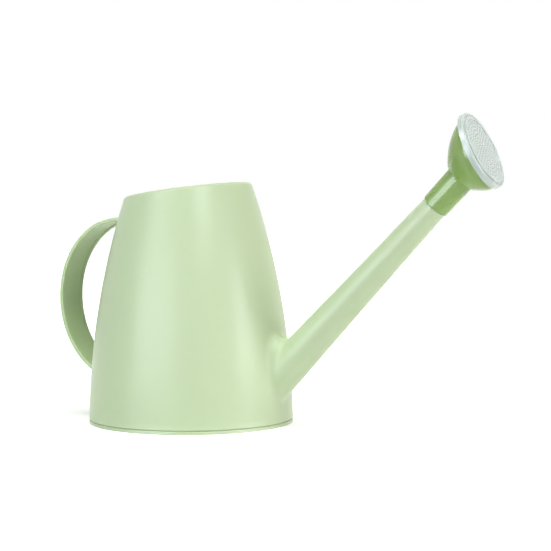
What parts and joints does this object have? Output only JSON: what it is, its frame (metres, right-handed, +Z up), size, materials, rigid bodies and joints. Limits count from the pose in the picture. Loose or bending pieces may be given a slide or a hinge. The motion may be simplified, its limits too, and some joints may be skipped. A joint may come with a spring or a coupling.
{
  "type": "watering can",
  "caption": "Tapered round watering can with a slanted mouth, a strap handle, a long straight spout and a pull-off rose with a perforated face.",
  "frame": {"origin": "centre of the can's foot, on the floor, under the can's own axis", "axes": "+Z up along the can's axis, +X towards the spout and rose, -X towards the handle"},
  "size_m": [0.4122, 0.1804, 0.2666],
  "materials": {
    "can_green": "satin pale green",
    "rose_green": "glossy leaf green",
    "face_white": "satin white"
  },
  "bodies": {
    "can": {"can_body": "can_green", "base_plate": "can_green", "spout": "can_green", "handle": "can_green"},
    "rose": {"rose_body": "rose_green"},
    "rose_face": {"rose_plate": "face_white"}
  },
  "joints": [
    {"name": "rose_pull", "type": "slide", "parent": "can", "child": "rose", "axis": [0.6977, 0, 0.7164], "range_m": [0, 0.04]},
    {"name": "face_unclip", "type": "slide", "parent": "rose", "child": "rose_face", "axis": [0.9085, 0, 0.4179], "range_m": [0, 0.012]}
  ]
}
